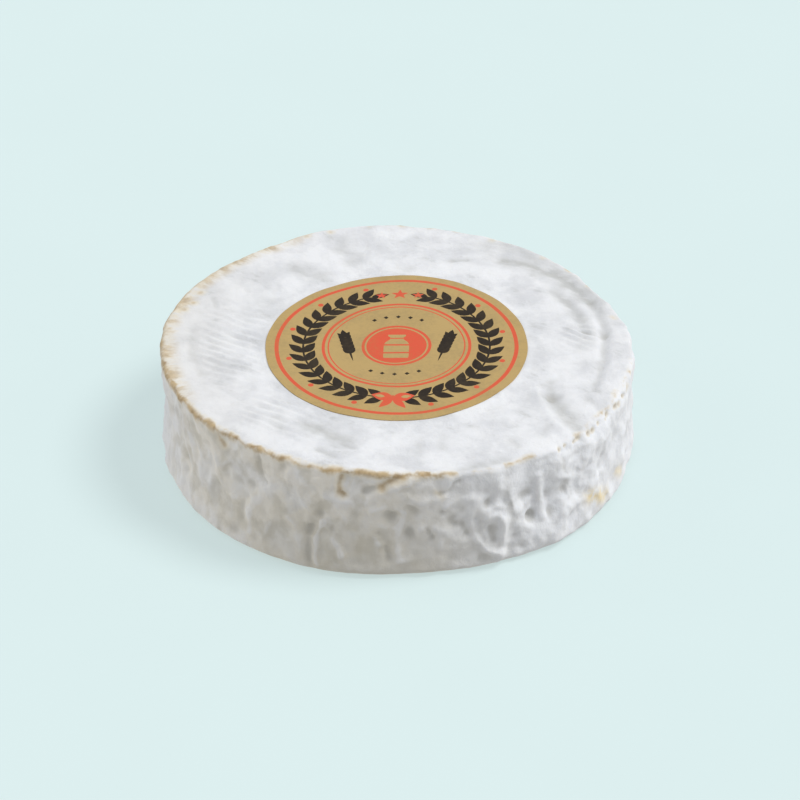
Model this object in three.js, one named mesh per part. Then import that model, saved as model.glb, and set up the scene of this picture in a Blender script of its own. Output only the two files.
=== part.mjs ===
// A soft cheese wheel with a bloomy white rind, and the round paper label stuck on its top.
// Millimetres, +Z up. The origin is the middle of the flat face that the wheel rests on, +X is to the right
// of someone who stands at the front, and -Y points at them. Angles are in degrees from +X towards +Y, so
// that the front is at 270.

import * as THREE from "three";

// Driving dimensions of the wheel.
const WHEEL_RADIUS = 68;
const WHEEL_HEIGHT = 34.6;
const FOOT_ROUND = 3;
const RIM_ROUND = 1.6;

// Driving dimensions of the label, which lies nearer the front than the middle of the wheel.
const LABEL_RADIUS = 38.3;
const LABEL_THICKNESS = 0.3;
const LABEL_GAP = 0.3;
const LABEL_CENTRE = { x: 0, y: -2.5 };

// How the plan of the wheel departs from a circle: whole waves round it, with the angle of a crest.
const OUTLINE_WAVES = [
  { lobes: 1, depth: 1.0, crest: 242 },
  { lobes: 2, depth: 1.54, crest: 152 },
  { lobes: 3, depth: 0.5, crest: 82 },
  { lobes: 4, depth: 0.3, crest: 67 },
  { lobes: 6, depth: 0.33, crest: 55 },
  { lobes: 7, depth: 0.32, crest: 2 },
];

// The wall leans in a little all round, and more or less than that in places: the foot stands out past the rim
// by twice the depth.
const WALL_LEAN = 0.6;
const LEANS = [
  { angle: 238, reach: 55, depth: 1.0 },
  { angle: 300, reach: 50, depth: -0.25 },
  { angle: 0, reach: 45, depth: -0.7 },
];

// The wall is a little slimmer at half height, most of all on the left.
const WAIST = { depth: 0.4, angle: 190, reach: 70, extra: 0.8 };

// The rim is a crisp edge, but slumps into a soft shoulder at the front right.
const SHOULDER = { angle: 322, reach: 42, depth: 1.5, radius: 4.5 };

// Lumps and winding wrinkles of the wall, taller than wide, strong at the front right and gentle elsewhere.
const LUMP = { size: 12, depth: 1.5 };
const WRINKLE = { size: 9, depth: 1.3, width: 0.4 };
const UPRIGHT = 0.6;
const WALL_CALM = 0.4;
const WALL_ROUGH = { angle: 312, reach: 50, extra: 0.8 };

// That relief calms down towards the foot and the rim, to these shares of it.
const FOOT_CALM = { height: 10, share: 0.25 };
const RIM_CALM = { height: 8, share: 0.5 };

// The top falls a little towards one side, with broad swells and smaller ripples.
const TOP_FALL = { angle: 354, depth: 0.8 };
const TOP_SWELL = { size: 33, depth: 0.7 };
const TOP_RIPPLE = { size: 12, depth: 0.55 };

// Two curved furrows on the right of the top, side by side, that die out at both ends.
const FURROWS = [
  { radius: 54.8, angle: 20, reach: 30, width: 2.2, depth: 0.9 },
  { radius: 60.8, angle: 12, reach: 56, width: 1.9, depth: 0.8 },
];

// Dents (and, with a negative depth, a bulge) that stand out at the front. A dent is tall times as high as
// it is wide, and those at the rim are nicks in the edge.
const FRONT_DENTS = [
  { angle: 224, height: 33, radius: 4.5, tall: 1.2, depth: 1.9 },
  { angle: 234, height: 25, radius: 2.6, tall: 3, depth: 1.0 },
  { angle: 257, height: 31, radius: 3.5, tall: 1.3, depth: 1.2 },
  { angle: 290, height: 31, radius: 7, tall: 1, depth: -1.4 },
  { angle: 301, height: 30, radius: 4, tall: 2, depth: 2.1 },
  { angle: 230, height: 19, radius: 4, tall: 1, depth: 0.9 },
  { angle: 250, height: 16, radius: 3.2, tall: 1.6, depth: 1.1 },
  { angle: 270, height: 17, radius: 4, tall: 1.2, depth: 1.3 },
  { angle: 296, height: 8, radius: 4.2, tall: 1.2, depth: 1.8 },
  { angle: 308, height: 16, radius: 3.6, tall: 1.2, depth: 1.8 },
  { angle: 314, height: 7, radius: 3.4, tall: 1, depth: 1.4 },
];

// Dents of the side that faces away follow a rule: even turns round it, at heights that never line up.
const BACK_DENTS = { count: 12, from: 345, step: 18, turn: 0.618, radius: 3.8, depth: 1.3 };
const BACK_HEIGHTS = { low: 6, high: 29 };

// Fineness of the facets.
const WHEEL_SEGMENTS = 150;
const WALL_STEPS = 12;
const ROUND_STEPS = 2;
const TOP_RINGS = 8;
const TOP_RING_SPACING = 2.3;
const TOP_INNER_SPACING = 6;
const LABEL_SEGMENTS = 72;
const LABEL_RINGS = 6;

const RIND = new THREE.MeshStandardMaterial({ color: 0xe9eaed, roughness: 0.92, metalness: 0 });
const LABEL_PAPER = new THREE.MeshStandardMaterial({ color: 0xbda36a, roughness: 0.55, metalness: 0 });

const radians = THREE.MathUtils.degToRad;
const smoothstep = THREE.MathUtils.smoothstep;
const lerp = THREE.MathUtils.lerp;

// 1 at the centre angle, easing to 0 at reach degrees to either side of it.
function patch(angle, centre, reach) {
  const gap = Math.abs(((angle - centre + 540) % 360) - 180);
  return gap < reach ? Math.cos((gap / reach) * (Math.PI / 2)) ** 2 : 0;
}

// A whole number of 32 bits that belongs to one corner of the noise lattice.
function scramble(i, j, k) {
  let bits = Math.imul(i, 73856093) ^ Math.imul(j, 19349663) ^ Math.imul(k, 83492791);
  bits = Math.imul(bits ^ (bits >>> 15), 0x2c1b3c6d);
  bits = Math.imul(bits ^ (bits >>> 12), 0x297a2d39);
  return (bits ^ (bits >>> 15)) >>> 0;
}

// Gradient noise, from about -1 to 1, whose swells are about size wide. Each layer has a pattern of its own.
function noise(x, y, z, size, layer) {
  const place = [x / size + 17 * layer, y / size + 31 * layer, z / size + 47 * layer];
  const cell = place.map(Math.floor);
  const within = place.map((value, axis) => value - cell[axis]);
  const eased = within.map((t) => t * t * t * (t * (t * 6 - 15) + 10));
  let sum = 0;
  for (let corner = 0; corner < 8; corner++) {
    const at = [corner & 1, (corner >> 1) & 1, corner >> 2];
    const bits = scramble(cell[0] + at[0], cell[1] + at[1], cell[2] + at[2]);
    let share = 1;
    let slope = 0;
    for (let axis = 0; axis < 3; axis++) {
      share *= at[axis] ? eased[axis] : 1 - eased[axis];
      slope += (((bits >>> (10 * axis)) & 1023) / 511.5 - 1) * (within[axis] - at[axis]);
    }
    sum += share * slope;
  }
  return 1.4 * sum;
}

// The radius of the plan at an angle, half way up the wall.
function outlineRadius(angle) {
  let radius = WHEEL_RADIUS;
  for (const wave of OUTLINE_WAVES) {
    radius += wave.depth * Math.cos(wave.lobes * radians(angle - wave.crest));
  }
  return radius;
}

function backDents() {
  const dents = [];
  for (let i = 0; i < BACK_DENTS.count; i++) {
    const height = lerp(BACK_HEIGHTS.low, BACK_HEIGHTS.high, (i * BACK_DENTS.turn) % 1);
    dents.push({ ...BACK_DENTS, angle: BACK_DENTS.from + i * BACK_DENTS.step, height, tall: 1 });
  }
  return dents;
}

// Each dent with its centre on the wall and the way it pushes: inwards, and near the rim downwards too.
const DENTS = [...FRONT_DENTS, ...backDents()].map((dent) => {
  const inwards = new THREE.Vector3(-Math.cos(radians(dent.angle)), -Math.sin(radians(dent.angle)), 0);
  const centre = inwards.clone().multiplyScalar(-outlineRadius(dent.angle)).setZ(dent.height);
  const push = inwards.setZ(-0.7 * smoothstep(dent.height, 0.75 * WHEEL_HEIGHT, WHEEL_HEIGHT)).normalize();
  return { ...dent, centre, push };
});

// How far a dent pushes the skin in at a point.
function dentDepth(dent, point) {
  const away = point.clone().sub(dent.centre);
  away.z /= dent.tall;
  return dent.depth * Math.exp(-away.lengthSq() / dent.radius ** 2);
}

// How far the slumped shoulder lies under a square corner at a point.
function shoulderDepth(point, angle, radius) {
  const away = Math.hypot(Math.hypot(point.x, point.y) - radius, point.z - WHEEL_HEIGHT);
  const share = patch(angle, SHOULDER.angle, SHOULDER.reach);
  return SHOULDER.depth * share * Math.exp(-((away / SHOULDER.radius) ** 2));
}

// How strong the wall's lumps are at a point, from 0 to a little over 1.
function wallRoughness(point, angle) {
  const round = WALL_CALM + WALL_ROUGH.extra * patch(angle, WALL_ROUGH.angle, WALL_ROUGH.reach);
  const offFoot = smoothstep(point.z, 0, FOOT_CALM.height);
  const offRim = smoothstep(WHEEL_HEIGHT - point.z, 0, RIM_CALM.height);
  return round * lerp(FOOT_CALM.share, 1, offFoot) * lerp(RIM_CALM.share, 1, offRim);
}

// Relief of the wall, outwards.
function wallRelief(point, angle) {
  const lumps = LUMP.depth * noise(point.x, point.y, UPRIGHT * point.z, LUMP.size, 1);
  const crossing = noise(point.x, point.y, UPRIGHT * point.z, WRINKLE.size, 2) / WRINKLE.width;
  const wrinkles = WRINKLE.depth * (Math.exp(-crossing * crossing) - 0.6);
  const waist = WAIST.depth + WAIST.extra * patch(angle, WAIST.angle, WAIST.reach);
  return wallRoughness(point, angle) * (lumps + wrinkles) - waist * Math.sin((Math.PI * point.z) / WHEEL_HEIGHT);
}

// Height of the top's fall and broad swells over its level, which the label follows too.
function topSwell(point) {
  const towards = radians(TOP_FALL.angle);
  const along = point.x * Math.cos(towards) + point.y * Math.sin(towards);
  const swell = TOP_SWELL.depth * noise(point.x, point.y, WHEEL_HEIGHT, TOP_SWELL.size, 3);
  return swell - (TOP_FALL.depth * along) / WHEEL_RADIUS;
}

// The finer relief of the top, which starts outside the label.
function topRipple(point, angle) {
  const fromLabel = Math.hypot(point.x - LABEL_CENTRE.x, point.y - LABEL_CENTRE.y) - LABEL_RADIUS;
  let height = TOP_RIPPLE.depth * noise(point.x, point.y, WHEEL_HEIGHT, TOP_RIPPLE.size, 4);
  for (const furrow of FURROWS) {
    const off = (Math.hypot(point.x, point.y) - furrow.radius) / furrow.width;
    height -= furrow.depth * patch(angle, furrow.angle, furrow.reach) * Math.exp(-off * off);
  }
  return smoothstep(fromLabel, 1, 8) * height;
}

// Moves one point of a plain round wheel to the real skin. What moves it up or down fades out towards the
// foot, which stays flat.
function shapeSkin(plain) {
  const angle = (THREE.MathUtils.radToDeg(Math.atan2(plain.y, plain.x)) + 360) % 360;
  const outwards = new THREE.Vector3(plain.x, plain.y, 0).normalize();
  const edgeShare = (Math.hypot(plain.x, plain.y) / WHEEL_RADIUS) ** 8;
  const upShare = smoothstep(plain.z, 0, WHEEL_HEIGHT);
  let lean = WALL_LEAN;
  for (const place of LEANS) {
    lean += place.depth * patch(angle, place.angle, place.reach);
  }
  const radius = outlineRadius(angle) + lean * (1 - (2 * plain.z) / WHEEL_HEIGHT);
  const plan = radius / WHEEL_RADIUS;
  const point = new THREE.Vector3(plain.x * plan, plain.y * plan, plain.z);
  const slump = shoulderDepth(point, angle, radius);
  const moved = point.clone().addScaledVector(outwards, edgeShare * wallRelief(point, angle) - slump);
  let rise = upShare * (topSwell(point) + topRipple(point, angle) - slump);
  for (const dent of DENTS) {
    const depth = dentDepth(dent, point);
    moved.x += dent.push.x * depth;
    moved.y += dent.push.y * depth;
    rise += upShare * dent.push.z * depth;
  }
  moved.z += rise;
  return moved;
}

// A quarter of a circle in the section, from one angle to another.
function quarterTurn(centreX, centreY, radius, from, to) {
  const points = [];
  for (let i = 0; i <= ROUND_STEPS; i++) {
    const turn = radians(lerp(from, to, i / ROUND_STEPS));
    points.push(new THREE.Vector2(centreX + radius * Math.cos(turn), centreY + radius * Math.sin(turn)));
  }
  return points;
}

// The section of the plain round wheel, from the middle of the foot out, up the wall and in over the top.
function wheelProfile() {
  const wallTop = WHEEL_HEIGHT - RIM_ROUND;
  const foot = quarterTurn(WHEEL_RADIUS - FOOT_ROUND, FOOT_ROUND, FOOT_ROUND, -90, 0);
  const rim = quarterTurn(WHEEL_RADIUS - RIM_ROUND, wallTop, RIM_ROUND, 0, 90);
  const points = [new THREE.Vector2(0, 0), ...foot];
  for (let i = 1; i < WALL_STEPS; i++) {
    points.push(new THREE.Vector2(WHEEL_RADIUS, lerp(FOOT_ROUND, wallTop, i / WALL_STEPS)));
  }
  points.push(...rim);
  let radius = WHEEL_RADIUS - RIM_ROUND;
  for (let i = 0; i < TOP_RINGS; i++) {
    radius -= TOP_RING_SPACING;
    points.push(new THREE.Vector2(radius, WHEEL_HEIGHT));
  }
  while (radius > 2 * TOP_INNER_SPACING) {
    radius -= TOP_INNER_SPACING;
    points.push(new THREE.Vector2(radius, WHEEL_HEIGHT));
  }
  points.push(new THREE.Vector2(0, WHEEL_HEIGHT));
  return points;
}

// The label's section: out under the paper, round its edge and back in over its face.
function labelProfile() {
  const under = [];
  for (let i = 0; i <= LABEL_RINGS; i++) {
    under.push(new THREE.Vector2((LABEL_RADIUS * i) / LABEL_RINGS, 0));
  }
  const over = under.map((point) => new THREE.Vector2(point.x, LABEL_THICKNESS)).reverse();
  return [...under, ...over];
}

// Turns a section round the upright axis and moves every vertex of the result by place(point).
function turned(profile, segments, place) {
  const geometry = new THREE.LatheGeometry(profile, segments).rotateX(Math.PI / 2);
  const positions = geometry.getAttribute("position");
  for (let i = 0; i < positions.count; i++) {
    const moved = place(new THREE.Vector3().fromBufferAttribute(positions, i));
    positions.setXYZ(i, moved.x, moved.y, moved.z);
  }
  geometry.computeVertexNormals();
  return geometry;
}

function makeWheel() {
  const mesh = new THREE.Mesh(turned(wheelProfile(), WHEEL_SEGMENTS, shapeSkin), RIND);
  mesh.name = "cheese";
  return mesh;
}

// The paper lies on the broad swells of the top, a hair above the skin.
function makeLabel() {
  const lay = (flat) => {
    const onTop = new THREE.Vector3(flat.x + LABEL_CENTRE.x, flat.y + LABEL_CENTRE.y, WHEEL_HEIGHT);
    onTop.z += topSwell(onTop) + LABEL_GAP + flat.z;
    return onTop;
  };
  const mesh = new THREE.Mesh(turned(labelProfile(), LABEL_SEGMENTS, lay), LABEL_PAPER);
  mesh.name = "label";
  return mesh;
}

const cheeseWheel = new THREE.Group();
cheeseWheel.add(makeWheel(), makeLabel());

export default cheeseWheel;
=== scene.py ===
# The looks of a soft cheese wheel: its bloomy white rind with ochre crust along the rim, and the round paper
# label on its top. Shapes are worked out in millimetres, in the frame of the solids, and turned into metres
# when a mesh is made. Angles are in degrees from +X towards +Y, so that the front is at 270.

import math
from collections import namedtuple

import bpy
import numpy as np
from mathutils import Matrix, Vector
from mathutils.geometry import delaunay_2d_cdt


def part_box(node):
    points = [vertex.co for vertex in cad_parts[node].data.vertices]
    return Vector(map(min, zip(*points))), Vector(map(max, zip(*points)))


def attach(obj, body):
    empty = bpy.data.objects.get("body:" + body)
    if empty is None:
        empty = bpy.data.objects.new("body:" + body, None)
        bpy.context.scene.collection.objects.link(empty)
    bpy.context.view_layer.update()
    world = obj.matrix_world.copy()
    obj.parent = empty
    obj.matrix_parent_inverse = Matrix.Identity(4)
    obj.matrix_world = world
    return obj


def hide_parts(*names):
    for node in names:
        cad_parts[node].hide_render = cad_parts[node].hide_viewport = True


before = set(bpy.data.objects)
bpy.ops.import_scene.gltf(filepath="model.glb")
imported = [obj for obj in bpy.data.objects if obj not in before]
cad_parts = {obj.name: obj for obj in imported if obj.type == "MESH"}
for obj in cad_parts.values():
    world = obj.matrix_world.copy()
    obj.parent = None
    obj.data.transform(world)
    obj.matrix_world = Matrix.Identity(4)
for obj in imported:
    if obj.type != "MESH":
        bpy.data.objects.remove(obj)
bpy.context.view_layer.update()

MM = 0.001

# Driving dimensions of the wheel, the same as its solid's.
WHEEL_RADIUS = 68.0
WHEEL_HEIGHT = 34.6
FOOT_ROUND = 3.0
RIM_ROUND = 1.6

# The label's place comes from its solid, and its print is turned a little on the wheel.
LABEL_LOW, LABEL_HIGH = (np.array(corner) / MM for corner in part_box("label"))
LABEL_CENTRE = (LABEL_LOW[:2] + LABEL_HIGH[:2]) / 2
LABEL_RADIUS = (LABEL_HIGH[0] - LABEL_LOW[0]) / 2
LABEL_TURN = -3.0
PAPER_THICKNESS = 0.22
PAPER_REST = 0.3

# How the plan of the wheel departs from a circle: whole waves round it, their depth and the angle of a crest.
OUTLINE_WAVES = [
    (1, 1.0, 242),
    (2, 1.54, 152),
    (3, 0.5, 82),
    (4, 0.3, 67),
    (6, 0.33, 55),
    (7, 0.32, 2),
]

# A kind of relief: how wide its swells are, how deep, and the noise layer that is its own. Ridges also have a
# width, and a mean that is taken off so that they don't thicken the wheel.
Relief = namedtuple("Relief", "size depth layer width mean", defaults=(1, 0))

# The lean, waist and soft shoulder of the wall, its lumps and wrinkles, and the relief of the top.
WALL_LEAN = 0.6
LEANS = [
    {"angle": 238, "reach": 55, "depth": 1.0},
    {"angle": 300, "reach": 50, "depth": -0.25},
    {"angle": 0, "reach": 45, "depth": -0.7},
]
WAIST = {"depth": 0.4, "angle": 190, "reach": 70, "extra": 0.8}
SHOULDER = {"angle": 322, "reach": 42, "depth": 1.5, "radius": 4.5}
LUMP = Relief(12, 1.5, 1)
WRINKLE = Relief(9, 1.3, 2, width=0.4, mean=0.6)
UPRIGHT = 0.6
WALL_CALM = 0.4
WALL_ROUGH = {"angle": 312, "reach": 50, "extra": 0.8}
FOOT_CALM = {"height": 10, "share": 0.25}
RIM_CALM = {"height": 8, "share": 0.5}
TOP_FALL = {"angle": 354, "depth": 0.8}
TOP_SWELL = Relief(33, 0.7, 3)
TOP_RIPPLE = Relief(12, 0.55, 4)
RIPPLE_MARGIN = {"start": 1, "whole": 8}
FURROWS = [
    {"radius": 54.8, "angle": 20, "reach": 30, "width": 2.2, "depth": 0.9},
    {"radius": 60.8, "angle": 12, "reach": 56, "width": 1.9, "depth": 0.8},
]

# The large dents of the front, as angle, height, radius, how many times as tall as wide, and depth.
FRONT_DENTS = [
    (224, 33, 4.5, 1.2, 1.9),
    (234, 25, 2.6, 3, 1.0),
    (257, 31, 3.5, 1.3, 1.2),
    (290, 31, 7, 1, -1.4),
    (301, 30, 4, 2, 2.1),
    (230, 19, 4, 1, 0.9),
    (250, 16, 3.2, 1.6, 1.1),
    (270, 17, 4, 1.2, 1.3),
    (296, 8, 4.2, 1.2, 1.8),
    (308, 16, 3.6, 1.2, 1.8),
    (314, 7, 3.4, 1, 1.4),
]
BACK_DENTS = {"count": 12, "from": 345, "step": 18, "turn": 0.618, "radius": 3.8, "depth": 1.3}
BACK_HEIGHTS = {"low": 6, "high": 29}

# A dent near the top pushes the skin down too: how far for each millimetre inwards, and from what height.
DENT_SINK = {"share": 0.7, "from": 0.75 * WHEEL_HEIGHT}

# Pits of the wall that the solid leaves out: angle, height, radius and depth, negative for a bump. The first
# two are broad and low, and the others are small.
SMALL_PITS = [
    (33, 29, 8.0, -0.8),
    (184, 22, 7.0, 1.1),
    (204, 25, 1.0, 0.6),
    (208, 28, 1.2, 0.5),
    (204.3, 20.5, 1.1, 0.7),
    (206, 16, 1.0, 0.5),
    (227.7, 24.5, 1.8, 0.6),
    (230.5, 21.3, 1.8, 0.9),
    (250, 18.5, 1.6, 0.8),
    (252.7, 14.8, 1.8, 0.7),
    (261.6, 28.4, 2.6, 0.8),
    (267.9, 19.9, 2.4, 0.8),
    (272.5, 22.8, 2.2, 1.1),
    (271.8, 14.6, 2.0, 1.4),
    (279.8, 21.7, 1.1, 0.8),
    (282.7, 19.1, 2.2, 1.0),
    (290.7, 22.7, 1.4, 0.9),
    (292.1, 13.6, 2.4, 0.4),
    (298.5, 4.9, 1.8, 0.8),
    (300.4, 20.8, 2.5, 1.2),
    (302.1, 13.5, 1.7, 1.9),
    (307.1, 12.6, 1.6, 1.2),
    (306.5, 18.5, 1.5, 0.6),
    (307, 21, 3.0, -0.6),
    (311, 18, 1.4, 0.6),
    (314, 14.5, 1.4, 0.7),
    (318, 21, 1.4, 0.5),
    (322, 16, 1.3, 0.5),
]

# Creases that wind over the front wall: points of angle and height, width, and depth, negative for a ridge.
CREASES = [
    ([(233.4, 34.4), (233.5, 29.8), (234.1, 25.3), (235.6, 24.3)], 0.9, 0.9),
    ([(228.9, 16.7), (228, 10.1), (226, 5)], 1.8, 0.6),
    ([(234.3, 18.8), (230.9, 14.1), (231.1, 6.9)], 1.8, -0.7),
    ([(247.8, 14), (247.2, 7.8), (248, 1.5)], 1.2, 0.8),
    ([(250.8, 16.6), (248.8, 10.5), (249.5, 3.6)], 1.0, -0.6),
    ([(251.1, 16.7), (253.5, 12.3), (255.8, 7.5)], 1.1, -0.6),
    ([(251.9, 25.5), (254.8, 24.7), (257.9, 24.9)], 1.3, -0.5),
    ([(255.8, 33), (255, 30), (255.4, 27.8), (256.6, 26.7)], 1.0, 0.8),
    ([(270.5, 34), (267.3, 31.9), (265.3, 29.6), (261.5, 28)], 1.2, 0.9),
    ([(265.3, 28.6), (268, 30), (271.5, 31.8)], 1.2, -0.6),
    ([(263, 22.3), (267, 23.2), (270.9, 21.7)], 1.0, -0.5),
    ([(270.9, 21.7), (270.1, 17.3), (268.6, 12.4), (269.5, 6)], 1.2, -0.7),
    ([(264.6, 14.5), (266.1, 10.6), (266.5, 6)], 1.3, 0.6),
    ([(279.4, 27.9), (281.3, 28.6), (282.7, 31.3), (283.9, 31.7)], 0.8, 0.7),
    ([(281.6, 17.8), (284.7, 16.3), (286, 13)], 1.2, 0.6),
    ([(276.2, 16.6), (277.4, 13.5)], 0.9, 0.6),
    ([(280.5, 23.6), (282.7, 25.2), (286.3, 26)], 1.3, -0.7),
    ([(288.2, 24.7), (286.7, 22.1), (286.5, 18), (287.4, 12.2), (290.1, 7.1), (294, 3.9)], 1.2, -0.8),
    ([(294.4, 16), (294.6, 11), (294.4, 7.6), (293.8, 3.9)], 1.7, -0.7),
    ([(290.2, 18), (290.7, 20.4), (292.8, 21.2), (294.6, 20)], 0.8, -0.6),
    ([(304, 27), (304.6, 18.5), (305.4, 12)], 1.2, -0.8),
    ([(295.5, 29), (296.5, 21.2), (297.4, 15)], 2.8, 0.9),
    ([(310.3, 29), (312, 24), (313.4, 18)], 3.4, 1.2),
]
RING_RIDGE = {"angle": 292.1, "height": 13.4, "across": 2.1, "tall": 5.3, "width": 1.0, "depth": -0.6}

# Small relief of the wall, a little taller than wide, whose places the warp bends.
FINE_UPRIGHT = 0.8
WARP = Relief(8, 1.6, 11)
FOLDS = Relief(7.5, 0.5, 16)
FOLD_RIDGES = Relief(9.0, 0.45, 17, width=0.18, mean=0.3)
KNOBS = Relief(3.4, 0.5, 13)
KNOB_RIDGES = Relief(5.0, 0.6, 12, width=0.28, mean=0.4)
SMALL_RIDGES = Relief(3.0, 0.35, 15, width=0.28, mean=0.4)
WALL_GRAIN = Relief(1.9, 0.1, 14)

# How strong the winding knobs are, and where they are stronger: at the front right and at the back.
KNOB_SHARE = 0.4
KNOB_PATCHES = [
    {"angle": 298, "reach": 42, "extra": 0.1},
    {"angle": 108, "reach": 85, "extra": 0.4},
]

# Small close hollows at the right, and the smooth trough under the arched part of the rim.
HONEYCOMB = {"angle": 318, "reach": 26}
HONEYCOMB_RIDGES = Relief(2.9, 0.6, 18, width=0.3, mean=0.4)
TROUGH = {"angle": 299.5, "reach": 8, "from": 19, "to": 23, "share": 0.8}

# Where small relief dies out at the foot and at the rim: how far it takes, and how much is left.
FINE_FOOT = {"height": 4, "share": 0.3}
FINE_RIM = {"height": 3, "share": 0.4}

# Where ochre crust follows the rim: its start and end, the degrees in which it dies out there, and how strong
# it is. The crust stands a little proud of the rim, and some has fingers in over the top.
CRUST_SPANS = [
    (180, 202, 8, 1.45),
    (190, 240, 8, 1.05),
    (266, 278, 4, 1.4),
    (232, 280, 6, 1.0),
    (118, 190, 10, 0.8),
    (284, 292, 3, 0.22),
    (296, 303, 2, 0.32),
    (20, 118, 12, 0.14),
    (322, 348, 8, 0.22),
]
CRUST_RELIEF = Relief(4, 0.2, 31)
CRUST_PROUD = {"width": 1.1, "rise": 0.08}
FINGER_SPAN = (124, 196, 14)

# Ochre that runs down the wall: points of angle and length of skin, and half the stroke's width, which is
# negative for a faint one.
CRUST_STROKES = [
    ([(219.6, 34.5), (220.2, 32.6), (221.6, 30.4)], 0.7),
    ([(256, 32.8), (255.1, 30), (255.5, 27.8), (256.6, 26.8)], 0.45),
    ([(270.5, 34), (267.3, 31.9), (265.6, 29.8)], 0.8),
    ([(278.2, 29), (280.0, 26.9)], -0.3),
]

# Soft ochre stains: points of angle and length of skin, how wide, and how strong.
STAINS = [
    ([(320, 10.4), (322.6, 8.6), (326, 6)], 2.2, 1.0),
    ([(333.6, 9), (336, 6.5)], 1.7, 0.6),
    ([(160.5, 36.5), (163.5, 36.5)], 2.2, 0.5),
]

# An uneven row of small brownish pits along the soft shoulder at the front right, with the angle of each end
# and its way in from the rim's corner.
SHOULDER_PITS = {"count": 12, "from": (310.7, -0.9), "to": (338.5, -2.6), "radius": 1.1, "depth": 0.7}

# Marks of the mat that the wheel drained on: straight grooves, bent a little, across three parts of the top.
MAT_MARKS = {"heading": -33, "spacing": 2.9, "depth": 0.38, "share": 0.65, "inner_ease": 5, "outer_ease": 6}
MAT_BEND = Relief(14, 1.1, 21)
MAT_WEAR = Relief(9, 0.7, 22)
MAT_PATCHES = [
    {"angle": 181, "reach": 36, "inner": 37, "outer": 60},
    {"angle": 3, "reach": 14, "inner": 46, "outer": 62},
    {"angle": 228, "reach": 26, "inner": 41, "outer": 60},
]

# Small relief of the top. Its lines show only where the noise of their places is high.
TOP_SOFT = Relief(7, 0.3, 23)
TOP_GRAIN = Relief(2.6, 0.12, 24)
TOP_LINES = Relief(9, -0.2, 25, width=0.14, mean=0)
LINE_PLACES = Relief(15, 1, 26)
MARK_WOBBLE = Relief(4, 0.35, 27)

# Soft marks of the top, where the mould is thinner and greyer: points in plan, width, depth, negative for a
# ridge, and how dull they are.
# Along the furrows at the right back and by the rim at the front right, the dull grey is painted shade.
TOP_MARKS = [
    ([(-30, 42), (-23, 37.5)], 3.2, 0.35, 0.6),
    ([(-54.4, 24.6), (-53.3, 20.7)], 0.9, 0.3, 0.45),
    ([(-42, 18), (-37, 25)], 5.0, 0.25, 0.25),
    ([(-16.5, 56), (-12.5, 46)], 3.2, 0.3, 0.45),
    ([(1, 41.5), (4.5, 40.5)], 2.0, 0.2, 0.3),
    ([(17, 44.8), (22, 45)], 1.3, 0.4, 0.65),
    ([(27, 55), (31, 46)], 4.5, 0.25, 0.3),
    ([(32.6, 44.8), (41.8, 41.1), (50.1, 34), (57.7, 20.2)], 3.0, 0.5, 1.0),
    ([(30, 55), (37.5, 51), (48, 41.5), (57, 29), (61.5, 16)], 4.5, 0.0, 0.5),
    ([(-60, 9), (-59.5, -4), (-56.5, -14)], 1.8, 0.4, 0.2),
    ([(57.7, 20.2), (60.7, 11.1), (60.9, 2.6)], 1.6, 0.4, 0.5),
    ([(60.9, 2.6), (59.2, -12.6), (56, -25.9)], 1.3, 0.5, 0.25),
    ([(46.5, 27.5), (50.6, 20.4), (54.8, 11.3)], 2.3, 0.3, 0.8),
    ([(54.8, 11.3), (56.5, 3), (54, -4)], 2.6, 0.1, 0.35),
    ([(43.7, -22), (43.8, -29)], 2.0, 0.5, 0.35),
    ([(43.8, -29), (47.2, -36.7), (50, -42)], 2.8, 1.1, 0.75),
    ([(40.3, -26), (41.3, -34), (43.8, -42.5)], 1.5, -0.45, 0.0),
    ([(54, -31), (59, -36)], 1.4, 0.3, 0.3),
    ([(40, -48.5), (42, -44)], 1.6, 0.25, 0.25),
    ([(31.4, -49.9), (33.2, -53.1)], 1.3, 0.25, 0.35),
    ([(17, -64), (24, -62), (30, -59.5)], 1.6, 0.2, 0.6),
    ([(11.9, -49), (11.9, -53)], 1.8, 0.25, 0.3),
    ([(5.6, -51.5), (5.6, -56.5)], 1.6, 0.25, 0.3),
    ([(-26, -41), (-20.5, -45), (-15.5, -49.5)], 3.0, 0.5, 0.65),
    ([(-16.3, -50.7), (-12.5, -53.2)], 1.0, 0.35, 0.45),
    ([(-22.8, -53.6), (-18, -57.2)], 1.1, 0.35, 0.6),
    ([(-35, -37.3), (-33.2, -43.4)], 2.2, 0.3, 0.35),
]

# Small ochre notches by the rim, all but the last at the back and sides: angle, way in from the rim's corner,
# and half width, 0 for a faint one.
RIM_NOTCHES = [
    (163, 3.4, 0.7),
    (159, 4.6, 0.8),
    (154, 4.0, 0.5),
    (146, 1.6, 0.5),
    (140, 1.2, 0.7),
    (128.5, 0.8, 0.6),
    (131.5, 2.6, 0.2),
    (114, 1.4, 0.5),
    (119.5, 0.8, 0.3),
    (107.5, 1.6, 0.2),
    (96.5, 1.0, 0.2),
    (88, 0.6, 0.5),
    (62, 1.4, 0.0),
    (45, 1.6, 0.1),
    (10, 2.2, 0.0),
    (342.7, -2.6, 0.5),
]

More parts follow.
